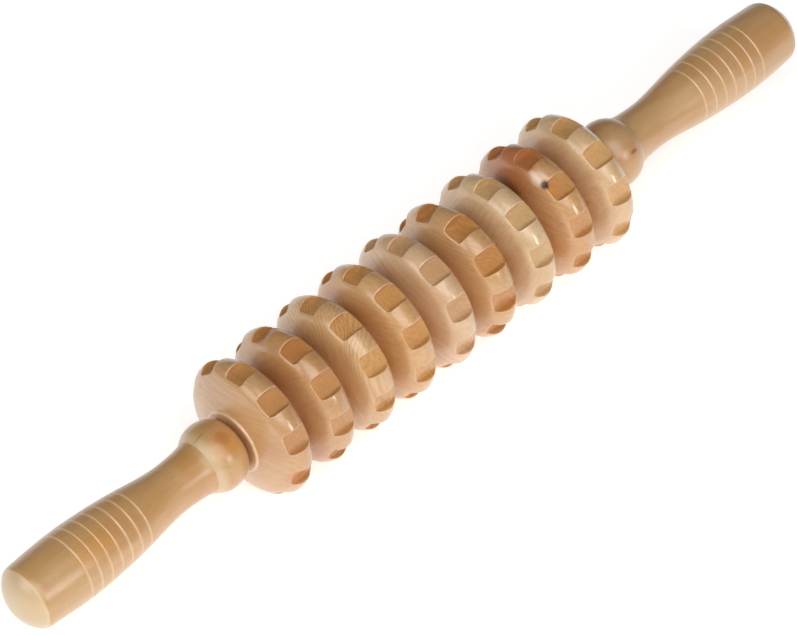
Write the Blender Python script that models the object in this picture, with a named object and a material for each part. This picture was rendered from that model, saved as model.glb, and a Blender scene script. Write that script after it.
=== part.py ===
"""Two-handled wooden massage roller.

Nine notched wooden wheels turn freely on one dowel axle. The axle's ends are glued into two
turned handles, each made in one piece with its collar bead and its ring of grip grooves.
The roller's axis is world X and its middle is the origin. Sizes below are in millimetres.
"""

import math

import bpy
from mathutils import Vector

MM = 0.001
SHARP_ANGLE = 30.0
WOOD_ROUGHNESS = 0.35

# Whole roller
LENGTH = 424.0
WHEEL_COUNT = 9
WHEEL_PITCH = 22.3
HUB_GAP = 0.3

# Axle: a plain dowel with broken end edges
AXLE_RADIUS = 6.5
AXLE_HALF_LENGTH = 131.4
AXLE_CHAMFER = 0.8
AXLE_STATIONS = 24

# Wheel: a hub collar, a sloping flank and an oval rim cut by ten straight notches with flared walls
WHEEL_RADIUS = 29.8
RIM_HALF_WIDTH = 7.7
RIM_HEIGHT = 9.3
HUB_RADIUS = 13.8
HUB_STEP = 1.05
HUB_STEP_FILLET = 0.3
BORE_RADIUS = 7.0
NOTCH_COUNT = 10
NOTCH_FLOOR_RADIUS = 26.8
NOTCH_FLOOR_HALF_WIDTH = 3.6
NOTCH_FLARE = 0.5
RIM_STEPS_BELOW_FLOOR = 3
RIM_STEPS_ABOVE_FLOOR = 3

# How far each wheel is turned about the axle, in degrees, from the first wheel to the last
WHEEL_TURNS = (8.3, 22.3, 31.3, 34.3, 3.3, 23.8, 10.3, 10.3, 8.3)

# Handle: distances from the roller's middle along the axis, then radii
HANDLE_STATIONS = 28
BEAD_FACE = 101.9
BEAD_CENTRE = 109.9
BEAD_HALF_LENGTH = 12.8
BEAD_RADIUS = 14.65
BEAD_ARC_END = 117.9
BEAD_STEPS = 7
SOCKET_RADIUS = 6.8
SOCKET_DEPTH = 30.0
SWEEP = (
    (120.5, 10.85), (125.0, 10.4), (132.0, 10.15), (138.0, 10.5), (145.0, 11.4), (153.0, 12.55),
    (161.0, 13.45), (169.0, 14.1), (177.0, 14.55), (184.5, 14.65), (192.0, 14.45),
)
END_ROUND_START = 203.8
END_ROUND_RADIUS = 13.8
END_FACE_RADIUS = 6.8
END_STEPS = 6
GROOVE_COUNT = 7
GROOVE_FIRST = 153.6
GROOVE_PITCH = 5.4
GROOVE_WIDTH = 1.0
GROOVE_DEPTH = 0.4

# Lacquered wood tones, linear red, green and blue
HANDLE_TONE = (0.60, 0.38, 0.19)
AXLE_TONE = (0.45, 0.27, 0.13)
WHEEL_TONES = (
    (0.66, 0.40, 0.23),
    (0.60, 0.34, 0.20),
    (0.62, 0.41, 0.22),
    (0.63, 0.38, 0.19),
    (0.64, 0.40, 0.25),
    (0.62, 0.34, 0.16),
    (0.62, 0.42, 0.23),
    (0.52, 0.26, 0.14),
    (0.62, 0.41, 0.21),
)


def clear_scene():
    for obj in list(bpy.data.objects):
        bpy.data.objects.remove(obj, do_unlink=True)


def wood(name, tone):
    material = bpy.data.materials.new(name)
    material.use_nodes = True
    shader = material.node_tree.nodes["Principled BSDF"]
    shader.inputs["Base Color"].default_value = (*tone, 1.0)
    shader.inputs["Roughness"].default_value = WOOD_ROUGHNESS
    return material


def ring_point(x, radius, angle):
    """A point at this radius about the X axis, with the angle measured from +Y towards +Z."""
    return Vector((x, radius * math.cos(angle), radius * math.sin(angle))) * MM


def add_object(name, points, faces, material, parent):
    mesh = bpy.data.meshes.new(name)
    mesh.from_pydata(points, [], faces)
    mesh.validate()
    mesh.shade_smooth()
    mesh.set_sharp_from_angle(angle=math.radians(SHARP_ANGLE))
    mesh.materials.append(material)
    obj = bpy.data.objects.new(name, mesh)
    bpy.context.scene.collection.objects.link(obj)
    obj.parent = parent
    return obj


def turned(name, profile, stations, material, parent):
    """A lathe-turned solid about X. The profile runs from one point on the axis to another."""
    points = [Vector((profile[0][0], 0, 0)) * MM]
    for x, radius in profile[1:-1]:
        for station in range(stations):
            points.append(ring_point(x, radius, math.tau * station / stations))
    points.append(Vector((profile[-1][0], 0, 0)) * MM)
    faces = []
    rings = len(profile) - 2
    last_ring = 1 + (rings - 1) * stations
    for station in range(stations):
        after = (station + 1) % stations
        faces.append((0, 1 + after, 1 + station))
        faces.append((len(points) - 1, last_ring + station, last_ring + after))
        for ring in range(rings - 1):
            near = 1 + ring * stations
            far = near + stations
            faces.append((near + station, near + after, far + after, far + station))
    return add_object(name, points, faces, material, parent)


def arc(centre, radii, start, end, steps):
    """Points of an elliptical arc in the (x, radius) plane, both ends included; angles in degrees."""
    points = []
    for step in range(steps + 1):
        angle = math.radians(start + (end - start) * step / steps)
        points.append((centre[0] + radii[0] * math.cos(angle), centre[1] + radii[1] * math.sin(angle)))
    return points


def smooth_radius(points, x):
    """The radius at x on a smooth curve through the points (cubic, with averaged end slopes)."""
    slopes = []
    for index in range(len(points)):
        low = points[max(index - 1, 0)]
        high = points[min(index + 1, len(points) - 1)]
        slopes.append((high[1] - low[1]) / (high[0] - low[0]))
    for index in range(len(points) - 1):
        (x0, r0), (x1, r1) = points[index], points[index + 1]
        if x <= x1:
            break
    span = x1 - x0
    t = (x - x0) / span
    start_term = (2 * t**3 - 3 * t**2 + 1) * r0 + (t**3 - 2 * t**2 + t) * span * slopes[index]
    end_term = (3 * t**2 - 2 * t**3) * r1 + (t**3 - t**2) * span * slopes[index + 1]
    return start_term + end_term


def bead_arc():
    start = math.degrees(math.acos((BEAD_FACE - BEAD_CENTRE) / BEAD_HALF_LENGTH))
    end = math.degrees(math.acos((BEAD_ARC_END - BEAD_CENTRE) / BEAD_HALF_LENGTH))
    return arc((BEAD_CENTRE, 0.0), (BEAD_HALF_LENGTH, BEAD_RADIUS), start, end, BEAD_STEPS)


def grip_outline():
    """The handle from the bead's back to the end rounding, with each groove cut as a shallow V."""
    curve = (bead_arc()[-1],) + SWEEP + ((END_ROUND_START, END_ROUND_RADIUS),)
    groove_last = GROOVE_FIRST + (GROOVE_COUNT - 1) * GROOVE_PITCH
    stations = [x for x, _ in SWEEP]
    plain = [x for x in stations if x < GROOVE_FIRST - GROOVE_WIDTH or x > groove_last + GROOVE_WIDTH]
    points = [(x, smooth_radius(curve, x)) for x in plain]
    for groove in range(GROOVE_COUNT):
        centre = GROOVE_FIRST + groove * GROOVE_PITCH
        for side in (-0.5, 0.5):
            x = centre + side * GROOVE_WIDTH
            points.append((x, smooth_radius(curve, x)))
        points.append((centre, smooth_radius(curve, centre) - GROOVE_DEPTH))
    return sorted(points)


def handle_profile():
    end = LENGTH / 2
    rounding = arc(
        (END_ROUND_START, END_FACE_RADIUS),
        (end - END_ROUND_START, END_ROUND_RADIUS - END_FACE_RADIUS),
        90, 0, END_STEPS,
    )
    socket_end = BEAD_FACE + SOCKET_DEPTH
    socket = [(socket_end, 0.0), (socket_end, SOCKET_RADIUS), (BEAD_FACE, SOCKET_RADIUS)]
    return socket + bead_arc() + grip_outline() + rounding + [(end, 0.0)]


def axle_profile():
    half = AXLE_HALF_LENGTH
    shoulder = half - AXLE_CHAMFER
    tip = AXLE_RADIUS - AXLE_CHAMFER
    return [(-half, 0.0), (-half, tip), (-shoulder, AXLE_RADIUS), (shoulder, AXLE_RADIUS), (half, tip), (half, 0.0)]


def rim_half():
    """The rim from flank to crown on the +X side: points up to the notch's corner, then points above it."""
    corner_radius = math.hypot(NOTCH_FLOOR_RADIUS, NOTCH_FLOOR_HALF_WIDTH)
    centre = WHEEL_RADIUS - RIM_HEIGHT
    corner = math.degrees(math.asin((corner_radius - centre) / RIM_HEIGHT))
    low = arc((0.0, centre), (RIM_HALF_WIDTH, RIM_HEIGHT), 0, corner, RIM_STEPS_BELOW_FLOOR)
    high = arc((0.0, centre), (RIM_HALF_WIDTH, RIM_HEIGHT), corner, 90, RIM_STEPS_ABOVE_FLOOR)
    return low, high[1:]


def mirrored(points):
    return [(-x, radius) for x, radius in points]


def wheel_section():
    """The wheel's section as a closed loop, and the indices of its two points at the notch's corners."""
    half = (WHEEL_PITCH - HUB_GAP) / 2
    low, high = rim_half()
    foot = (half - HUB_STEP, HUB_RADIUS + HUB_STEP_FILLET)
    right = [(half, BORE_RADIUS), (half, HUB_RADIUS), foot] + low
    crown = mirrored(high) + high[-2::-1]
    return mirrored(right) + crown + right[::-1], len(right) - 1, len(right) + len(crown)


def wall_top(radius):
    """How far out and across from the notch's middle its flared wall meets the rim at this radius."""
    if radius <= math.hypot(NOTCH_FLOOR_RADIUS, NOTCH_FLOOR_HALF_WIDTH):
        turn = math.atan2(NOTCH_FLOOR_HALF_WIDTH, NOTCH_FLOOR_RADIUS)
        return radius * math.cos(turn), radius * math.sin(turn)
    a = 1 + NOTCH_FLARE**2
    b = NOTCH_FLOOR_RADIUS + NOTCH_FLARE * NOTCH_FLOOR_HALF_WIDTH
    c = NOTCH_FLOOR_RADIUS**2 + NOTCH_FLOOR_HALF_WIDTH**2 - radius**2
    height = (math.sqrt(b * b - a * c) - b) / a
    return NOTCH_FLOOR_RADIUS + height, NOTCH_FLOOR_HALF_WIDTH + height * NOTCH_FLARE


def wheel(name, material, parent):
    section, corner_left, corner_right = wheel_section()
    points = []
    faces = []

    def wall_column(middle, side):
        """Adds the points where a notch's wall, on this side of its middle, meets the section."""
        column = {}
        for index, (x, radius) in enumerate(section):
            out, across = wall_top(radius)
            column[index] = len(points)
            points.append(ring_point(x, radius, middle + side * math.atan2(across, out)))
        return column

    def floor_column(middle):
        """Adds the points along a notch's middle, where the section is cut down to the floor."""
        column = {}
        for index in notched[:-1]:
            x, radius = section[index]
            column[index] = len(points)
            points.append(ring_point(x, min(radius, NOTCH_FLOOR_RADIUS), middle))
        return column

    def land_column(middle):
        """Adds the points along the middle of a land, where the section is whole."""
        column = {}
        for index, (x, radius) in enumerate(section):
            column[index] = len(points)
            points.append(ring_point(x, radius, middle))
        return column

    def skin(near, far, indices):
        for index, after in zip(indices, indices[1:]):
            faces.append((far[index], far[after], near[after], near[index]))

    whole = list(range(len(section))) + [0]
    notched = [index for index in whole if not corner_left < index < corner_right]
    spacing = math.tau / NOTCH_COUNT
    columns = []
    for notch in range(NOTCH_COUNT):
        middle = notch * spacing
        columns.append((
            wall_column(middle, -1), floor_column(middle), wall_column(middle, 1), land_column(middle + spacing / 2),
        ))
    for notch in range(NOTCH_COUNT):
        first, middle, last, land = columns[notch]
        skin(last, land, whole)
        skin(land, columns[(notch + 1) % NOTCH_COUNT][0], whole)
        skin(first, middle, notched)
        skin(middle, last, notched)
        wall = range(corner_left, corner_right + 1)
        faces.append([first[index] for index in reversed(wall)])
        faces.append([last[index] for index in wall])
    return add_object(name, points, faces, material, parent)


def empty(name, location):
    obj = bpy.data.objects.new(name, None)
    bpy.context.scene.collection.objects.link(obj)
    obj.location = Vector(location) * MM
    return obj


def build_handles(roller):
    profile = handle_profile()
    turned("handle_right", profile, HANDLE_STATIONS, wood("handle_right_wood", HANDLE_TONE), roller)
    left = turned("handle_left", profile, HANDLE_STATIONS, wood("handle_left_wood", HANDLE_TONE), roller)
    left.rotation_euler = (0, 0, math.pi)


def build_wheels(roller):
    for index in range(WHEEL_COUNT):
        offset = (index - (WHEEL_COUNT - 1) / 2) * WHEEL_PITCH
        centre = empty(f"wheel_{index + 1}_centre", (offset, 0, 0))
        centre.parent = roller
        obj = wheel(f"wheel_{index + 1}", wood(f"wheel_{index + 1}_wood", WHEEL_TONES[index]), centre)
        obj.rotation_euler = (math.radians(WHEEL_TURNS[index]), 0, 0)


def main():
    clear_scene()
    roller = empty("roller", (0, 0, 0))
    turned("axle", axle_profile(), AXLE_STATIONS, wood("axle_wood", AXLE_TONE), roller)
    build_handles(roller)
    build_wheels(roller)
    bpy.context.view_layer.update()


main()
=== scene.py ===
"""The looks of the wooden massage roller: fine turned and notched meshes, lacquered wood and soft light."""

import math
import random

import bmesh
import bpy
import numpy as np
from mathutils import Matrix, Vector


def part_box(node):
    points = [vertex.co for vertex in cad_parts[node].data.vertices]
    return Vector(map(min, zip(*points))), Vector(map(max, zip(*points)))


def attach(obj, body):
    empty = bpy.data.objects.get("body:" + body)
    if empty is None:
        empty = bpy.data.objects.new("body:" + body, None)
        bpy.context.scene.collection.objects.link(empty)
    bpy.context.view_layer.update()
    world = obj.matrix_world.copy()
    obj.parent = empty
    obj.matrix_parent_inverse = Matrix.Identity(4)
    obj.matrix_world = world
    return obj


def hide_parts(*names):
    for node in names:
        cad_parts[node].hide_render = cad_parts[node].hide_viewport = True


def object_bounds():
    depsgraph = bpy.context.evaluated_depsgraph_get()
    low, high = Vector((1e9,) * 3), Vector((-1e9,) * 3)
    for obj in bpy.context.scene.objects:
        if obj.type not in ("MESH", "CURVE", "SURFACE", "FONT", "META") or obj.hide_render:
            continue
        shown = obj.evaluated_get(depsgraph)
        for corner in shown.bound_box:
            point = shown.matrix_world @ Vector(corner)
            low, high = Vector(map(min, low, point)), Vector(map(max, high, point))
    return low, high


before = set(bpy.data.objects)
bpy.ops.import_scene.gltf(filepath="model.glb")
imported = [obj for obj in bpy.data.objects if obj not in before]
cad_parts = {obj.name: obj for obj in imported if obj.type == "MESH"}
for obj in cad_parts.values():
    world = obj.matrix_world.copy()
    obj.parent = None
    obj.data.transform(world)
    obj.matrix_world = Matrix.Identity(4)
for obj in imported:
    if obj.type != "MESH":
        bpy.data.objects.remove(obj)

CAD_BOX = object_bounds()
MM = 0.001

# ---------------------------------------------------------------- sizes, in millimetres

WHEEL_COUNT = 9
HUB_RADIUS = 13.8
HUB_STEP = 1.05
HUB_ROUND = 0.75
HUB_ROOT_STEP = 0.35
BORE_RADIUS = 7.0
BORE_CHAMFER = 0.5
# radius where the painted shade on flanks between wheels starts, growing darker towards the hub
GAP_SHADE_RIM = 26.0
RIM_HALF_WIDTH = 7.7
RIM_HEIGHT = 9.3
NOTCH_COUNT = 10
NOTCH_FLOOR_HALF_WIDTH = 3.3
NOTCH_HOLLOW_WIDTH = 1.3
NOTCH_HOLLOW_HEIGHT = 1.5
NOTCH_FLARE = 0.2
NOTCH_EDGE_ROUND = 0.35
NOTCH_TURN_SPREAD = 0.4
NOTCH_WIDTH_SPREAD = 0.12
FLOOR_CORNER = 0.35
FLOOR_LIP = 0.1
FLOOR_LIP_EDGE = 0.8
FLANK_BULGE = 0.12
FLANK_STEPS = 6
FLOOR_COLUMNS = 7
# a notch wall's columns: rise, notch mask, edge mask (wear and painted highlight), mask of the painted shade
# on the wall
WALL_COLUMNS = (
    (0.14, 1.0, 0.0, 0.3), (0.28, 1.0, 0.0, 0.6), (0.42, 1.0, 0.0, 0.8), (0.56, 1.0, 0.0, 1.0),
    (0.7, 1.0, 0.0, 1.0), (0.85, 1.0, 0.0, 0.9), (0.95, 0.9, 0.1, 0.7), (1.0, 0.8, 0.3, 0.3),
    (1.33, 0.4, 0.5, 0.0), (1.67, 0.1, 0.5, 0.0), (2.0, 0.0, 0.3, 0.0),
)
# a land's columns, in ninths of its width
LAND_COLUMNS = (0.4, 1.4, 3, 4, 5, 6, 7.6, 8.6)
# each wheel's turn on the axle, in degrees
WHEEL_TURNS = (8.3, 22.3, 31.3, 34.3, 3.3, 23.8, 10.3, 10.3, 8.3)
# how far each wheel's notch floors lie from the axle's middle: wheel_6 is cut deeper
NOTCH_FLOORS = (26.9, 26.9, 26.9, 26.9, 26.9, 26.0, 26.9, 26.9, 26.9)

AXLE_CHAMFER = 0.8
AXLE_STATIONS = 64
AXLE_STEPS = 40
SOCKET_RADIUS = 6.8
SOCKET_CHAMFER = 0.4
SOCKET_DEPTH = 30.0
HANDLE_STATIONS = 112
HANDLE_STEPS = 340
BEAD_CENTRE = 109.9
BEAD_HALF_LENGTH = 12.8
BEAD_RADIUS = 14.65
BEAD_ARC_END = 117.9
BEAD_STEPS = 36
# the neck and grip: distance from the roller's middle, and radius there
SWEEP = (
    (120.5, 10.85), (125.0, 10.4), (132.0, 10.15), (138.0, 10.5), (145.0, 11.4), (153.0, 12.55),
    (161.0, 13.45), (169.0, 14.1), (177.0, 14.55), (184.5, 14.65), (192.0, 14.45),
)
END_ROUND_START = 203.0
END_ROUND_RADIUS = 13.8
END_ROUND_DROP = 0.5
END_RADIUS = 13.0
END_DOME = 5.5
END_DOME_POWER = 2.8
END_SHOULDER = 205.9
END_RIM = (206.3, 13.12)
END_CAP_RADIUS = 12.85
END_CAP_STEPS = 18
GROOVE_COUNT = 7
GROOVE_FIRST = 153.6
GROOVE_PITCH = 5.4
GROOVE_WIDTH = 0.9
GROOVE_LIP = 1.4
GROOVE_DEPTH = 0.32

SHARP_ANGLE = 42
WELD_DISTANCE = 4e-6


def node_size(node):
    low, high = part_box(node)
    return low / MM, high / MM


# ---------------------------------------------------------------- mesh helpers


def arc(centre, radii, start, end, steps):
    """Points of an elliptical arc in the (x, radius) plane, angles in degrees, both ends included."""
    angles = [math.radians(start + (end - start) * step / steps) for step in range(steps + 1)]
    return [(centre[0] + radii[0] * math.cos(a), centre[1] + radii[1] * math.sin(a)) for a in angles]


def smooth_radius(points, x):
    """The radius at x on a smooth cubic through the points."""
    slopes = []
    for index in range(len(points)):
        low = points[max(index - 1, 0)]
        high = points[min(index + 1, len(points) - 1)]
        slopes.append((high[1] - low[1]) / (high[0] - low[0]))
    index = 0
    while index < len(points) - 2 and x > points[index + 1][0]:
        index += 1
    (x0, r0), (x1, r1) = points[index], points[index + 1]
    span = x1 - x0
    t = (x - x0) / span
    start_term = (2 * t**3 - 3 * t**2 + 1) * r0 + (t**3 - 2 * t**2 + t) * span * slopes[index]
    end_term = (3 * t**2 - 2 * t**3) * r1 + (t**3 - t**2) * span * slopes[index + 1]
    return start_term + end_term


def finish_mesh(name, points, faces, masks, material):
    """An object from points in millimetres. masks are point attributes that its material reads."""
    mesh = bpy.data.meshes.new(name)
    mesh.from_pydata([Vector(p) * MM for p in points], [], faces)
    for mask, values in masks.items():
        attribute = mesh.attributes.new(mask, "FLOAT", "POINT")
        attribute.data.foreach_set("value", np.array(values, np.float32))
    mesh.materials.append(material)
    work = bmesh.new()
    work.from_mesh(mesh)
    bmesh.ops.remove_doubles(work, verts=work.verts, dist=WELD_DISTANCE)
    bmesh.ops.dissolve_degenerate(work, edges=work.edges, dist=1e-7)
    bmesh.ops.recalc_face_normals(work, faces=work.faces)
    work.to_mesh(mesh)
    work.free()
    mesh.shade_smooth()
    mesh.set_sharp_from_angle(angle=math.radians(SHARP_ANGLE))
    obj = bpy.data.objects.new(name, mesh)
    bpy.context.scene.collection.objects.link(obj)
    return obj


def turned(name, profile, stations, material):
    """A lathe-turned solid about X. The profile's points are (x, radius, edge mask).

    The mask "end" says how far the surface there cuts across the grain.
    """
    points = []
    edge = []
    end = []
    for index, (x, radius, mask) in enumerate(profile):
        before, after = profile[max(index - 1, 0)], profile[min(index + 1, len(profile) - 1)]
        run, climb = after[0] - before[0], after[1] - before[1]
        slope = abs(climb) / max(math.hypot(run, climb), 1e-6)
        for station in range(stations if radius > 0 else 1):
            angle = math.tau * station / stations
            points.append((x, radius * math.cos(angle), radius * math.sin(angle)))
            edge.append(mask)
            end.append(slope if x > BEAD_CENTRE else 0.0)
    faces = []
    start = 0
    for (_, radius, _), (_, next_radius, _) in zip(profile, profile[1:]):
        width = stations if radius > 0 else 1
        following = start + width
        for station in range(stations):
            after = (station + 1) % stations
            if radius > 0 and next_radius > 0:
                faces.append((start + station, start + after, following + after, following + station))
            elif radius > 0:
                faces.append((start + station, start + after, following))
            else:
                faces.append((start, following + after, following + station))
        start = following
    return finish_mesh(name, points, faces, {"edge": edge, "end": end}, material)


# ---------------------------------------------------------------- wood


class Nodes:
    """Short calls for building one material's node tree."""

    def __init__(self, name):
        self.material = bpy.data.materials.new(name)
        self.material.use_nodes = True
        self.tree = self.material.node_tree
        self.shader = self.tree.nodes["Principled BSDF"]

    def value(self, target, source):
        if isinstance(source, bpy.types.NodeSocket):
            self.tree.links.new(source, target)
        else:
            target.default_value = source

    def add(self, kind, inputs=(), **settings):
        node = self.tree.nodes.new(kind)
        for key, setting in settings.items():
            setattr(node, key, setting)
        for key, source in dict(inputs).items():
            self.value(node.inputs[key], source)
        return node

    def math(self, operation, a, b):
        return self.add("ShaderNodeMath", {0: a, 1: b}, operation=operation).outputs[0]

    def times(self, a, b):
        return self.math("MULTIPLY", a, b)

    def mix(self, factor, a, b, mode="MIX"):
        node = self.add("ShaderNodeMix", data_type="RGBA", blend_type=mode)
        self.value(node.inputs[0], factor)
        self.value(node.inputs[6], a)
        self.value(node.inputs[7], b)
        return node.outputs[2]

    def ramp(self, factor, low, high, start=0.0, end=1.0):
        """Maps low..high to start..end with a smooth step."""
        node = self.add("ShaderNodeMapRange", {0: factor, 1: low, 2: high, 3: start, 4: end})
        node.interpolation_type = "SMOOTHSTEP"
        return node.outputs[0]

    def mask(self, name):
        return self.add("ShaderNodeAttribute", attribute_name=name).outputs["Fac"]

    def scaled(self, vector, scale, offset=(0.0, 0.0, 0.0)):
        inputs = {"Vector": vector, "Scale": scale, "Location": offset}
        return self.add("ShaderNodeMapping", inputs).outputs[0]

    def rolled(self, vector, degrees):
        """The vector turned about X."""
        inputs = {"Vector": vector, "Rotation": (math.radians(degrees), 0, 0)}
        return self.add("ShaderNodeMapping", inputs).outputs[0]

    def noise(self, vector, scale=1.0, detail=2.0, roughness=0.5):
        node = self.add(
            "ShaderNodeTexNoise",
            {"Vector": vector, "Scale": scale, "Detail": detail, "Roughness": roughness},
        )
        return node.outputs["Fac"]

    def blob(self, vector, centre, radii, ragged=0.0):
        """1 at the centre of an ellipsoid and 0 outside it, with a soft, optionally ragged edge."""
        scale = tuple(1.0 / r for r in radii)
        offset = tuple(-c / r for c, r in zip(centre, radii))
        local = self.scaled(vector, scale, offset)
        distance = self.add("ShaderNodeVectorMath", {0: local}, operation="LENGTH").outputs["Value"]
        if ragged:
            wander = self.times(self.noise(vector, 0.8, 3.0), ragged)
            distance = self.math("ADD", distance, wander)
            distance = self.math("SUBTRACT", distance, ragged / 2)
        return self.ramp(distance, 0.35, 1.0, 1.0, 0.0)


def colour(red, green, blue):
    """Display red, green and blue, 0 to 255, as a linear colour."""
    def linear(value):
        value = value / 255
        return value / 12.92 if value <= 0.04045 else ((value + 0.055) / 1.055) ** 2.4
    return (linear(red), linear(green), linear(blue), 1.0)


COAT_WEIGHT = 0.8
COAT_IOR = 1.65
LACQUERED_ROUGHNESS = (0.34, 0.46)
BARE_ROUGHNESS = (0.62, 0.8)
CUT_ROUGHNESS = 0.2
LACQUERED_BUMP = 0.12
BARE_BUMP = 0.55
# eased edges are lightened: partly wear, partly a painted highlight where the edges catch the light
WEAR_AND_HIGHLIGHT_LIFT = 1.15
SEED_STRIDES = (37.1, 11.3, 23.9)
# paler where the surface cuts across the grain: real end grain, and on the left bead's back also a painted
# reflection
END_GRAIN_AND_REFLECTION = (0.90, 0.80, 0.66, 1.0)
CUT_FIBRE = (0.72, 0.58, 0.46, 1.0)
# painted shade on the flanks between neighbouring wheels
GAP_SHADE_TINT = (0.82, 0.66, 0.55, 1.0)
# painted shade on the notch walls
WALL_SHADE_TINT = (0.60, 0.48, 0.38, 1.0)


def grain_vector(nodes, grain_axis, turn, seed, set_at):
    """Three sets of coordinates in millimetres for one piece of wood.

    The first is the piece's own, with the turn that it is set at taken out. The second has the grain
    along X. The third is the second moved to this piece's own part of the noise.
    """
    place = nodes.add("ShaderNodeTexCoord").outputs["Object"]
    place = nodes.scaled(place, (1 / MM,) * 3)
    if set_at:
        place = nodes.rolled(place, -set_at)
    grain = nodes.rolled(place, turn)
    if grain_axis == "disc":
        # the grain lies across the disc: swap the wheel's Y into the texture's X
        x, y, z = nodes.add("ShaderNodeSeparateXYZ", {0: grain}).outputs
        grain = nodes.add("ShaderNodeCombineXYZ", {0: y, 1: z, 2: x}).outputs[0]
    offset = tuple(seed * stride for stride in SEED_STRIDES)
    return place, grain, nodes.scaled(grain, (1, 1, 1), offset)


def rings_at(nodes, bent, spacing):
    """Soft growth lines, 0 to 1, spaced about this far apart in millimetres."""
    wave = nodes.add(
        "ShaderNodeTexWave",
        {"Vector": nodes.scaled(bent, (0.02, 1.0, 1.0)), "Scale": 0.314 / spacing, "Distortion": 2.4,
         "Detail": 2.0, "Detail Scale": 0.5},
        wave_type="RINGS", rings_direction="X", wave_profile="SAW",
    )
    return nodes.ramp(wave.outputs["Fac"], 0.35, 1.0)


def wood(name, light, dark, blotch, seed, turn=0.0, grain_axis="axial", set_at=0.0, pith=(14.0, 22.0),
         ring_spacing=2.6, ring_strength=0.2, streak_strength=0.3, blotch_amount=0.5,
         tint=(1.0, 1.0, 1.0), cut_tint=(0.99, 0.85, 0.60), end_grain_and_reflection_amount=0.75, edge_amount=0.7,
         gloss=0.2, lacquer=True, marks=()):
    """Clear-lacquered pale wood: growth rings, fibre streaks, pores, soft blotches and any single marks.

    The wheels' notches are cut after sanding, so there the wood is duller and deeper in colour.
    """
    nodes = Nodes(name)
    place, grain, vector = grain_vector(nodes, grain_axis, turn, seed, set_at)

    warp = nodes.noise(nodes.scaled(vector, (0.012, 0.06, 0.06)), 1.0, 2.0)
    warp = nodes.times(nodes.math("SUBTRACT", warp, 0.5), 9.0)
    shift = nodes.add("ShaderNodeCombineXYZ", {0: 0.0, 1: warp, 2: warp}).outputs[0]
    bent = nodes.add("ShaderNodeVectorMath", {0: grain, 1: shift}, operation="ADD").outputs[0]
    bent = nodes.scaled(bent, (1.0, 1.0, 1.0), (0.0, pith[0], pith[1]))
    late = rings_at(nodes, bent, ring_spacing)
    # the lines come and go from one area to the next
    patches = nodes.noise(nodes.scaled(vector, (0.03, 0.07, 0.07)))
    late = nodes.times(late, nodes.ramp(patches, 0.35, 0.65))

    streaks = nodes.noise(nodes.scaled(vector, (0.035, 0.8, 0.8)), 1.0, 4.0, 0.55)
    fibres = nodes.noise(nodes.scaled(vector, (0.12, 4.5, 4.5)), 1.0, 3.0, 0.6)
    pores = nodes.ramp(nodes.noise(nodes.scaled(vector, (0.35, 5.0, 5.0)), 1.0, 1.0), 0.66, 0.74)
    cloud = nodes.noise(nodes.scaled(vector, (0.025, 0.06, 0.06)), 1.0, 3.0)

    tone = nodes.mix(nodes.times(late, ring_strength), light, dark)
    tone = nodes.mix(nodes.times(nodes.ramp(streaks, 0.4, 0.72), streak_strength), tone, dark)
    tone = nodes.mix(nodes.times(nodes.ramp(cloud, 0.42, 0.68), blotch_amount), tone, blotch)
    tone = nodes.mix(nodes.times(nodes.ramp(fibres, 0.35, 0.7), 0.14), tone, dark)
    pore = (dark[0] * 0.6, dark[1] * 0.5, dark[2] * 0.45, 1)
    tone = nodes.mix(nodes.times(pores, 0.22), tone, pore)
    # end grain, and on the left bead's back a painted reflection, laid on as a paler colour
    end = nodes.times(nodes.ramp(nodes.mask("end"), 0.3, 0.6), end_grain_and_reflection_amount)
    tone = nodes.mix(end, tone, END_GRAIN_AND_REFLECTION)
    tone = nodes.mix(1.0, tone, (*tint, 1.0), "MULTIPLY")

    low, high = LACQUERED_ROUGHNESS if lacquer else BARE_ROUGHNESS
    spread = {0: fibres, 1: 0.3, 2: 0.7, 3: low, 4: high}
    roughness = nodes.add("ShaderNodeMapRange", spread).outputs[0]
    if lacquer:
        cut = nodes.mask("notch")
        torn = nodes.noise(nodes.scaled(place, (0.9, 3.2, 3.2)), 1.0, 4.0, 0.65)
        torn = nodes.times(cut, nodes.ramp(torn, 0.42, 0.7))
        tone = nodes.mix(cut, tone, (*cut_tint, 1.0), "MULTIPLY")
        tone = nodes.mix(nodes.times(torn, 0.4), tone, CUT_FIBRE, "MULTIPLY")
        # painted shade on the notch walls
        tone = nodes.mix(nodes.times(nodes.mask("wall_shade"), 0.4), tone, WALL_SHADE_TINT, "MULTIPLY")
        # painted shade on flanks that face another wheel
        tone = nodes.mix(nodes.times(nodes.mask("gap_shade"), 0.8), tone, GAP_SHADE_TINT, "MULTIPLY")
        roughness = nodes.math("ADD", roughness, nodes.times(cut, CUT_ROUGHNESS))
        # edges lightened: partly wear, partly painted highlight
        wear_and_highlight = (*(min(part * WEAR_AND_HIGHLIGHT_LIFT, 1) for part in light[:3]), 1)
        tone = nodes.mix(nodes.times(nodes.mask("edge"), edge_amount), tone, wear_and_highlight)
    for mark in marks:
        area = nodes.blob(place, mark["centre"], mark["radii"], mark.get("ragged", 0.0))
        tone = nodes.mix(nodes.times(area, mark["amount"]), tone, mark["colour"])
    nodes.value(nodes.shader.inputs["Base Color"], tone)
    nodes.value(nodes.shader.inputs["Roughness"], roughness)

    height = nodes.math("ADD", nodes.times(fibres, 0.6), nodes.times(pores, -0.8))
    strength = LACQUERED_BUMP if lacquer else BARE_BUMP
    relief = {"Height": height, "Strength": strength, "Distance": 0.0001}
    bump = nodes.add("ShaderNodeBump", relief)
    nodes.value(nodes.shader.inputs["Normal"], bump.outputs[0])
    nodes.shader.inputs["Coat Weight"].default_value = COAT_WEIGHT if lacquer else 0.0
    nodes.shader.inputs["Coat Roughness"].default_value = gloss
    nodes.shader.inputs["Coat IOR"].default_value = COAT_IOR
    return nodes.material


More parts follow.
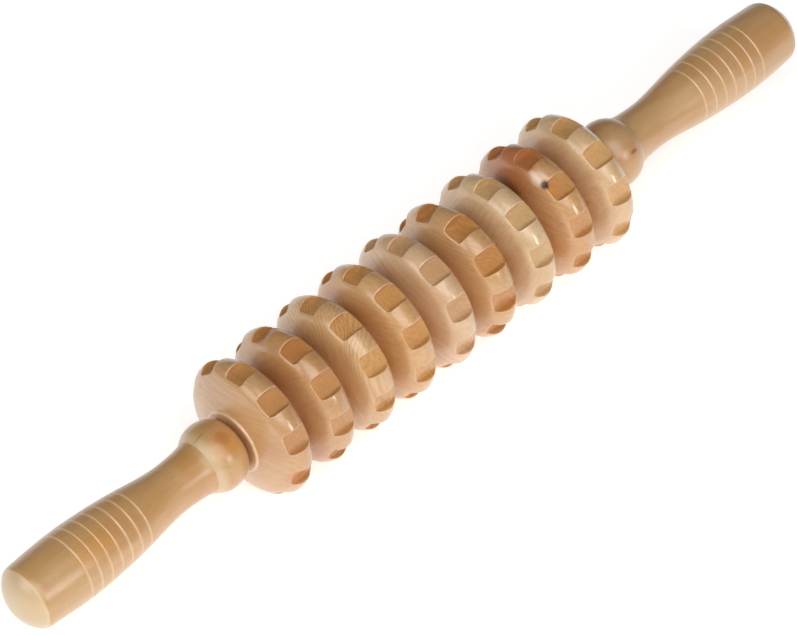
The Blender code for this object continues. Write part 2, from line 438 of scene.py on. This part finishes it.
# ---------------------------------------------------------------- handles and axle


def bead_arc(face):
    """The bead's outline from the handle's inner face to the foot of the neck."""
    start = math.degrees(math.acos((face - BEAD_CENTRE) / BEAD_HALF_LENGTH))
    end = math.degrees(math.acos((BEAD_ARC_END - BEAD_CENTRE) / BEAD_HALF_LENGTH))
    return arc((BEAD_CENTRE, 0.0), (BEAD_HALF_LENGTH, BEAD_RADIUS), start, end, BEAD_STEPS)


def groove_at(x):
    """Depth and edge mask of the grip grooves at x: seven shallow cuts with eased lips."""
    nearest = round((x - GROOVE_FIRST) / GROOVE_PITCH)
    if not 0 <= nearest < GROOVE_COUNT:
        return 0.0, 0.0
    reach = abs(x - GROOVE_FIRST - nearest * GROOVE_PITCH) / (GROOVE_WIDTH / 2)
    if reach >= GROOVE_LIP:
        return 0.0, 0.0
    depth = GROOVE_DEPTH * max(0.0, 1 - reach)**0.8
    return depth, max(0.0, 1 - reach / GROOVE_LIP)**0.5


def handle_profile():
    """The whole handle's outline from the socket's bottom to the middle of the end face."""
    low, high = node_size("handle_right")
    face, end = low.x, high.x
    bead = bead_arc(face)
    curve = (bead[-1],) + SWEEP + ((END_ROUND_START, END_ROUND_RADIUS),)
    socket_end = face + SOCKET_DEPTH
    outline = [
        (socket_end, 0.0),
        (socket_end, SOCKET_RADIUS),
        (face + SOCKET_CHAMFER, SOCKET_RADIUS),
        (face, SOCKET_RADIUS + SOCKET_CHAMFER),
        (face, bead[0][1] - 0.5),
        (face + 0.06, bead[0][1] - 0.12),
    ]
    profile = [(x, r, 0.0) for x, r in outline + bead[1:]]
    for step in range(1, HANDLE_STEPS):
        x = bead[-1][0] + (END_ROUND_START - bead[-1][0]) * step / HANDLE_STEPS
        depth, edge = groove_at(x)
        profile.append((x, smooth_radius(curve, x) - depth, edge))
    for share in (0.0, 0.3, 0.6, 0.85, 1.0):
        x = END_ROUND_START + share * (END_SHOULDER - END_ROUND_START)
        profile.append((x, END_ROUND_RADIUS - END_ROUND_DROP * share**2, 0.0))
    profile.append((*END_RIM, 0.4))
    for step in range(END_CAP_STEPS + 1):
        radius = END_CAP_RADIUS * (1 - step / END_CAP_STEPS)
        x = end - END_DOME * (radius / END_RADIUS)**END_DOME_POWER
        profile.append((x, radius, 0.4 if step == 0 else 0.0))
    return profile


def build_handle(name, material):
    obj = turned(name + "_wood", handle_profile(), HANDLE_STATIONS, material)
    if name == "handle_left":
        obj.rotation_euler = (0, 0, math.pi)
    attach(obj, "handles_and_axle")
    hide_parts(name)


def build_axle(material):
    low, high = node_size("axle")
    radius = high.y
    start, end = low.x + AXLE_CHAMFER, high.x - AXLE_CHAMFER
    profile = [(low.x, 0.0, 0.0), (low.x, radius - AXLE_CHAMFER, 0.0)]
    for step in range(AXLE_STEPS + 1):
        profile.append((start + (end - start) * step / AXLE_STEPS, radius, 0.0))
    profile += [(high.x, radius - AXLE_CHAMFER, 0.0), (high.x, 0.0, 0.0)]
    obj = turned("axle_dowel", profile, AXLE_STATIONS, material)
    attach(obj, "handles_and_axle")
    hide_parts("axle")


# ---------------------------------------------------------------- wheels


class WheelShape:
    """One notched wheel as a grid: rows run across the section, columns run round the wheel."""

    def __init__(self, half, radius, floor, rng):
        self.half = half
        self.floor = floor
        self.centre = radius - RIM_HEIGHT
        self.root = (half - HUB_STEP, HUB_RADIUS + HUB_ROOT_STEP)
        # where a straight flank from the hub's foot touches the oval rim, stretched here into a circle
        dx, dy = self.root[0] * RIM_HEIGHT / RIM_HALF_WIDTH, self.root[1] - self.centre
        self.flank_end = math.degrees(math.atan2(dy, dx) + math.acos(RIM_HEIGHT / math.hypot(dx, dy)))
        self.notches = []
        for index in range(NOTCH_COUNT):
            stray = rng.uniform(-NOTCH_TURN_SPREAD, NOTCH_TURN_SPREAD)
            angle = math.tau * index / NOTCH_COUNT + math.radians(stray)
            wider = rng.uniform(-NOTCH_WIDTH_SPREAD, NOTCH_WIDTH_SPREAD)
            self.notches.append((angle, NOTCH_FLOOR_HALF_WIDTH + wider))

    def side(self):
        """Section points from the bore to the flank's end on the +X side, as (x, radius, edge)."""
        half, root = self.half, self.root
        rows = [(0.0, BORE_RADIUS, 0), (half - BORE_CHAMFER, BORE_RADIUS, 0)]
        rows += [(half, BORE_RADIUS + BORE_CHAMFER, 0.4), (half, 10.0, 0), (half, HUB_RADIUS - 1.2, 0)]
        middle = (half - HUB_ROUND, HUB_RADIUS - HUB_ROUND)
        rows += [(x, r, 0.7) for x, r in arc(middle, (HUB_ROUND, HUB_ROUND), 0, 90, 5)]
        rows += [(root[0] + 0.15, HUB_RADIUS + 0.02, 0), (root[0] + 0.04, HUB_RADIUS + 0.12, 0)]
        end = self.rim(self.flank_end)
        for step in range(FLANK_STEPS + 1):
            share = step / FLANK_STEPS
            bulge = FLANK_BULGE * 4 * share * (1 - share)
            x = root[0] + (end[0] - root[0]) * share + bulge
            rows.append((x, root[1] + (end[1] - root[1]) * share, 0))
        return rows

    def rim(self, angle):
        """X and radius on the rim oval, at an angle in degrees from its widest point."""
        angle = math.radians(angle)
        return RIM_HALF_WIDTH * math.cos(angle), self.centre + RIM_HEIGHT * math.sin(angle)

    def floor_angle(self, across):
        """The rim oval's angle where the notch floor runs out, this far from the notch's middle."""
        return math.degrees(math.asin((math.hypot(self.floor, across) - self.centre) / RIM_HEIGHT))

    def rim_rows(self, floor_angle):
        """Rim arc angles below the floor's edge, and those from just above it to the crown."""
        step = math.degrees(FLOOR_CORNER / RIM_HEIGHT)
        low = np.linspace(self.flank_end, floor_angle - step, 6)[1:]
        high = np.concatenate([[floor_angle + step], np.linspace(floor_angle + 2.5 * step, 90, 9)])
        return low, high

    def column(self, floor_angle, low_angle, above, corner_edge=0.0, pull=0.0, notch=0.0, wall_shade=0.0):
        """Half a column, as (x, y, z, edge, notch, deep).

        low_angle is its turn below the floor, and above(rim angle) gives each point over it.
        """
        low, high = self.rim_rows(floor_angle)
        turn = (math.cos(low_angle), math.sin(low_angle))
        points = [(x, r * turn[0], r * turn[1], edge, 0.0, 0.0) for x, r, edge in self.side()]
        for angle in low:
            x, r = self.rim(angle)
            points.append((x, r * turn[0], r * turn[1], 0.0, 0.0, 0.0))
        x, r = self.rim(floor_angle)
        points.append((x - pull, (r - pull) * turn[0], (r - pull) * turn[1], corner_edge, notch / 2, 0.0))
        for angle in high:
            points.append((*above(angle), notch, wall_shade))
        return points

    def floor_column(self, notch, across):
        """A column whose upper part lies on the notch's flat floor."""
        angle, _ = notch
        limit = self.floor_angle(across)

        def above(rim_angle):
            return self.rim(rim_angle)[0], *self.in_notch(angle, self.floor, across), 0.0

        turn = angle + math.atan2(across, self.floor)
        return self.column(limit, turn, above, FLOOR_LIP_EDGE, FLOOR_LIP, 1.0)

    @staticmethod
    def in_notch(angle, out, across):
        """Y and Z of a point given along and across a notch's middle plane."""
        return (
            out * math.cos(angle) - across * math.sin(angle),
            out * math.sin(angle) + across * math.cos(angle),
        )

    @staticmethod
    def wall(height):
        """How far a notch's wall stands out from its floor's edge: a hollow, then a slight flare."""
        below = max(1 - height / NOTCH_HOLLOW_HEIGHT, 0)
        flare = NOTCH_FLARE * max(height - NOTCH_HOLLOW_HEIGHT, 0)
        return NOTCH_HOLLOW_WIDTH * math.sqrt(1 - below * below) + flare

    def wall_top(self, radius, half_width):
        """A notch wall's height over the floor where the rim has this radius, and its eased edge."""
        low, high = 0.0, radius - self.floor
        for _ in range(18):
            height = (low + high) / 2
            if math.hypot(self.floor + height, half_width + self.wall(height)) < radius:
                low = height
            else:
                high = height
        return low, min(NOTCH_EDGE_ROUND, 0.45 * low)

    def wall_column(self, notch, side, rise, notch_mask, edge, wall_shade):
        """A column part way up the wall (rise 0 to 1), or round its eased edge (1 to 2)."""
        angle, half_width = notch

        def above(rim_angle):
            x, radius = self.rim(rim_angle)
            top, ease = self.wall_top(radius, half_width)
            height = (top - ease) * min(rise, 1)**2
            out, across = self.floor + height, half_width + self.wall(height)
            if rise > 1:
                bend = rise - 1
                corner = half_width + self.wall(top)
                land = math.sqrt(radius**2 - (corner + ease)**2)
                shares = ((1 - bend)**2, 2 * bend * (1 - bend), bend**2)
                out = shares[0] * out + shares[1] * (self.floor + top) + shares[2] * land
                across = shares[0] * across + shares[1] * corner + shares[2] * (corner + ease)
            return x, *self.in_notch(angle, out, side * across), edge

        foot = angle + side * math.atan2(half_width, self.floor)
        limit = self.floor_angle(half_width)
        return self.column(limit, foot, above, FLOOR_LIP_EDGE, FLOOR_LIP, notch_mask, wall_shade)

    def land_column(self, notch, following, share):
        """A column on the land, at this share of the way from one notch to the following one."""
        def edge_turn(which, side, radius):
            angle, half_width = which
            top, ease = self.wall_top(radius, half_width)
            return angle + side * math.asin((half_width + self.wall(top) + ease) / radius)

        def above(rim_angle):
            x, radius = self.rim(rim_angle)
            first, last = edge_turn(notch, 1, radius), edge_turn(following, -1, radius)
            turn = first + (last - first) * share
            return x, radius * math.cos(turn), radius * math.sin(turn), 0.0

        first = notch[0] + math.atan2(notch[1], self.floor)
        last = following[0] - math.atan2(following[1], self.floor)
        limit = self.floor_angle(notch[1] + (following[1] - notch[1]) * share)
        return self.column(limit, first + (last - first) * share, above)

    def columns(self):
        """All half columns round the wheel: each notch's two walls and floor, then the land after it."""
        found = []
        for index, notch in enumerate(self.notches):
            following = self.notches[(index + 1) % NOTCH_COUNT]
            if index == NOTCH_COUNT - 1:
                following = (following[0] + math.tau, following[1])
            found += [self.wall_column(notch, -1, *values) for values in reversed(WALL_COLUMNS)]
            for across in np.linspace(-notch[1], notch[1], FLOOR_COLUMNS):
                found.append(self.floor_column(notch, across))
            found += [self.wall_column(notch, 1, *values) for values in WALL_COLUMNS]
            found += [self.land_column(notch, following, step / 9) for step in LAND_COLUMNS]
        return found

    def make(self, name, material, beside):
        """The wheel's object. beside says whether another wheel stands at its -X and at its +X side; such a
        flank gets painted shade, darker towards the hub.
        """
        points, faces = [], []
        masks = {"edge": [], "notch": [], "wall_shade": [], "gap_shade": []}
        columns = self.columns()
        for column in columns:
            mirrored = [(-x, *rest) for x, *rest in reversed(column[:-1])]
            for x, y, z, edge, notch, wall_shade in column + mirrored:
                points.append((x, y, z))
                masks["edge"].append(edge)
                masks["notch"].append(notch)
                masks["wall_shade"].append(wall_shade)
                # painted shade on a flank that faces another wheel, darker towards the hub
                share = min(max((GAP_SHADE_RIM - math.hypot(y, z)) / (GAP_SHADE_RIM - HUB_RADIUS), 0), 1)
                masks["gap_shade"].append(share if beside[x > 0] else 0.0)
        rows = len(points) // len(columns)
        for place in range(len(columns)):
            near = place * rows
            far = (place + 1) % len(columns) * rows
            for row in range(rows):
                after = (row + 1) % rows
                faces.append((near + row, near + after, far + after, far + row))
        return finish_mesh(name, points, faces, masks, material)


def build_wheel(index, material, rng):
    """A wheel in its own frame, set on the axle at its own turn."""
    name = f"wheel_{index + 1}"
    low, high = node_size(name)
    radius = min(CAD_BOX[1].z, -CAD_BOX[0].z) / MM
    shape = WheelShape((high.x - low.x) / 2, radius, NOTCH_FLOORS[index], rng)
    obj = shape.make(name + "_shell", material, (index > 0, index < WHEEL_COUNT - 1))
    obj.location = ((low.x + high.x) / 2 * MM, 0, 0)
    obj.data.transform(Matrix.Rotation(math.radians(WHEEL_TURNS[index]), 4, "X"))
    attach(obj, name + "_body")
    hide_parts(name)


# ---------------------------------------------------------------- the roller

HONEY = colour(205, 160, 110)
ORANGE = colour(212, 150, 84)
ROSE = colour(214, 166, 128)
BROWN = colour(150, 92, 52)

# Marks are ellipsoids in a piece's own millimetres. Later ones are painted over earlier ones.
# The first wheel has one notch that took up more orange stain.
ORANGE_NOTCH_MARKS = (
    {"centre": (-2.0, -27.5, 0.6), "radii": (8.0, 4.5, 6.0), "amount": 0.7, "colour": colour(206, 124, 62),
     "ragged": 0.4},
)
KNOT = {"centre": (-5.1, -4.4, 27.2), "radii": (1.9, 1.9, 1.9), "amount": 1.0, "colour": colour(40, 14, 4)}
# The eighth wheel has reddish heartwood on one side, with a dark swirl and a small black knot,
# which is laid on twice for a firm edge.
HEARTWOOD_MARKS = (
    {"centre": (-3.0, 16.0, 19.0), "radii": (22.0, 24.0, 22.0), "amount": 0.8, "colour": colour(184, 108, 58),
     "ragged": 0.5},
    {"centre": (-9.8, 8.0, 13.0), "radii": (6.0, 12.0, 7.0), "amount": 0.75, "colour": colour(112, 60, 32),
     "ragged": 0.6},
    {"centre": (-5.6, -0.6, 27.4), "radii": (5.2, 5.0, 3.8), "amount": 0.9, "colour": colour(238, 206, 178)},
    {"centre": (-4.5, -9.0, 27.0), "radii": (6.0, 6.0, 3.0), "amount": 0.6, "colour": colour(214, 136, 58),
     "ragged": 0.4},
    {"centre": (-5.2, -4.6, 27.3), "radii": (3.0, 3.0, 3.0), "amount": 0.85, "colour": colour(150, 76, 36)},
    KNOT,
    KNOT,
)
# amber patches on the bead, neck and grip, and a fine crack on the bead
LEFT_MARKS = (
    {"centre": (108.6, 6.5, 12.8), "radii": (8.5, 9.0, 6.5), "amount": 0.75, "colour": colour(208, 142, 66),
     "ragged": 0.6},
    {"centre": (109.0, 4.5, 13.8), "radii": (4.5, 4.5, 3.5), "amount": 0.4, "colour": colour(172, 98, 46),
     "ragged": 0.6},
    {"centre": (124.5, 3.0, 10.0), "radii": (7.0, 10.0, 7.0), "amount": 0.6, "colour": colour(198, 140, 66),
     "ragged": 0.4},
    {"centre": (114.7, -2.4, 12.9), "radii": (4.8, 0.4, 3.0), "amount": 0.45, "colour": colour(104, 60, 32)},
    {"centre": (177.6, 7.7, 12.3), "radii": (14.0, 9.0, 6.0), "amount": 0.4, "colour": colour(216, 152, 60),
     "ragged": 0.7},
)
# a short reddish dash on the bead
RIGHT_MARKS = (
    {"centre": (111.5, -11.4, 9.0), "radii": (2.6, 1.0, 1.3), "amount": 0.85, "colour": colour(160, 84, 44)},
)

# from the wheel by the left handle to the wheel by the right one
WHEEL_LOOKS = (
    {"light": colour(232, 196, 160), "dark": colour(198, 148, 108), "blotch": ROSE, "turn": 20,
     "tint": (0.82, 0.69, 0.485), "marks": ORANGE_NOTCH_MARKS},
    {"light": colour(226, 184, 142), "dark": colour(194, 140, 96), "blotch": ORANGE, "turn": 75,
     "tint": (0.85, 0.76, 0.60)},
    {"light": colour(230, 194, 148), "dark": colour(176, 124, 76), "blotch": HONEY, "turn": -35,
     "tint": (0.98, 0.91, 0.79), "ring_spacing": 1.3, "ring_strength": 0.5},
    {"light": colour(232, 192, 142), "dark": colour(196, 144, 92), "blotch": ORANGE, "turn": 50,
     "tint": (0.905, 0.815, 0.705)},
    {"light": colour(236, 200, 166), "dark": colour(204, 156, 118), "blotch": ROSE, "turn": -10,
     "tint": (0.93, 0.91, 0.80), "cut_tint": (0.95, 0.85, 0.72), "ring_strength": 0.35},
    {"light": colour(230, 180, 124), "dark": colour(196, 138, 82), "blotch": ORANGE, "turn": 30,
     "tint": (0.88, 0.90, 0.92), "cut_tint": (0.96, 0.76, 0.48), "ring_spacing": 1.6, "ring_strength": 0.35},
    {"light": colour(234, 198, 152), "dark": colour(200, 152, 102), "blotch": HONEY, "turn": 80,
     "tint": (0.98, 1.01, 1.05), "cut_tint": (0.95, 0.86, 0.68)},
    {"light": colour(226, 180, 130), "dark": colour(184, 128, 80), "blotch": ORANGE, "turn": 10,
     "tint": (0.93, 0.89, 0.82), "marks": HEARTWOOD_MARKS},
    {"light": colour(230, 190, 146), "dark": colour(196, 146, 98), "blotch": HONEY, "turn": 60,
     "tint": (1.01, 1.05, 1.06)},
)

HANDLE_LOOKS = {
    "handle_left": {"seed": 11.2, "tint": (0.785, 0.665, 0.47), "end_grain_and_reflection_amount": 0.75, "edge_amount": 0.6,
                    "marks": LEFT_MARKS},
    "handle_right": {"seed": 14.7, "tint": (0.79, 0.695, 0.55), "end_grain_and_reflection_amount": 0.1, "edge_amount": 0.5,
                     "marks": RIGHT_MARKS},
}


def build_roller():
    rng = random.Random(7)
    for index, look in enumerate(WHEEL_LOOKS):
        material = wood(
            f"wheel_{index + 1}_wood", seed=index + 1.3, grain_axis="disc", set_at=WHEEL_TURNS[index],
            **look,
        )
        build_wheel(index, material, rng)
    for name, look in HANDLE_LOOKS.items():
        material = wood(
            name + "_wood", colour(234, 198, 154), colour(196, 146, 96), ORANGE, pith=(9.0, 30.0),
            ring_spacing=3.2, ring_strength=0.12, streak_strength=0.16, blotch_amount=0.4, gloss=0.34,
            **look,
        )
        build_handle(name, material)
    material = wood(
        "axle_wood", colour(176, 128, 84), colour(132, 86, 50), BROWN, seed=17.4, lacquer=False
    )
    build_axle(material)


# ---------------------------------------------------------------- studio


FLOOR_HALF_SIZE = 6.0
FLOOR_ALBEDO = 0.8
FLOOR_GLOW = 0.6
WORLD_STRENGTH = 0.05
# name, position in metres, sides in metres, watts: each faces the roller
LIGHTS = (
    ("front", (-0.9, -1.0, 1.95), (2.4, 2.4), 42.0),
    ("left", (-1.8, 0.5, 1.0), (1.0, 1.0), 8.0),
    ("key", (0.2, -1.8, 0.85), (0.45, 0.45), 8.0),
)
# the camera's heading and climb in degrees, and its place in millimetres along its own axes
CAMERA_HEADING = 45.25
CAMERA_CLIMB = 49.2
CAMERA_RIGHT = 7.1
CAMERA_UP = 6.45
CAMERA_DISTANCE = 1945.2
CAMERA_LENS = 225.5
CAMERA_SENSOR = 36
CAMERA_REACH = 20


def build_floor(low_z):
    size = FLOOR_HALF_SIZE
    corners = [(-size, -size, 0), (size, -size, 0), (size, size, 0), (-size, size, 0)]
    mesh = bpy.data.meshes.new("studio_floor")
    mesh.from_pydata(corners, [], [(0, 1, 2, 3)])
    floor = bpy.data.objects.new("studio_floor", mesh)
    floor.location.z = low_z
    bpy.context.scene.collection.objects.link(floor)
    nodes = Nodes("studio_white")
    nodes.shader.inputs["Base Color"].default_value = (*(FLOOR_ALBEDO,) * 3, 1)
    nodes.shader.inputs["Roughness"].default_value = 0.9
    nodes.shader.inputs["Emission Color"].default_value = (1, 1, 1, 1)
    nodes.shader.inputs["Emission Strength"].default_value = FLOOR_GLOW
    mesh.materials.append(nodes.material)


def area_light(name, position, size, energy):
    data = bpy.data.lights.new(name, "AREA")
    data.shape = "RECTANGLE"
    data.size, data.size_y = size
    data.energy = energy
    light = bpy.data.objects.new(name, data)
    light.location = position
    light.rotation_euler = Vector(position).to_track_quat("Z", "Y").to_euler()
    bpy.context.scene.collection.objects.link(light)


def build_studio():
    build_floor(CAD_BOX[0].z)
    for light in LIGHTS:
        area_light(*light)
    world = bpy.data.worlds.new("studio_world")
    world.use_nodes = True
    background = world.node_tree.nodes["Background"]
    background.inputs["Color"].default_value = (1, 1, 1, 1)
    background.inputs["Strength"].default_value = WORLD_STRENGTH
    bpy.context.scene.world = world
    bpy.context.scene.view_settings.view_transform = "Standard"


def build_camera():
    """A long lens high over the left front, level, with the left handle nearest."""
    heading = math.radians(CAMERA_HEADING)
    climb = math.radians(CAMERA_CLIMB)
    right = Vector((math.cos(heading), -math.sin(heading), 0)).normalized()
    level = Vector((math.sin(heading), math.cos(heading), 0))
    forward = level * math.cos(climb) - Vector((0, 0, 1)) * math.sin(climb)
    up = right.cross(forward)
    data = bpy.data.cameras.new("camera")
    data.lens = CAMERA_LENS
    data.sensor_width = CAMERA_SENSOR
    data.clip_end = CAMERA_REACH
    camera = bpy.data.objects.new("camera", data)
    camera.location = (right * CAMERA_RIGHT + up * CAMERA_UP + forward * CAMERA_DISTANCE) * -MM
    camera.rotation_euler = forward.to_track_quat("-Z", "Y").to_euler()
    bpy.context.scene.collection.objects.link(camera)
    bpy.context.scene.camera = camera


build_roller()
build_studio()
build_camera()
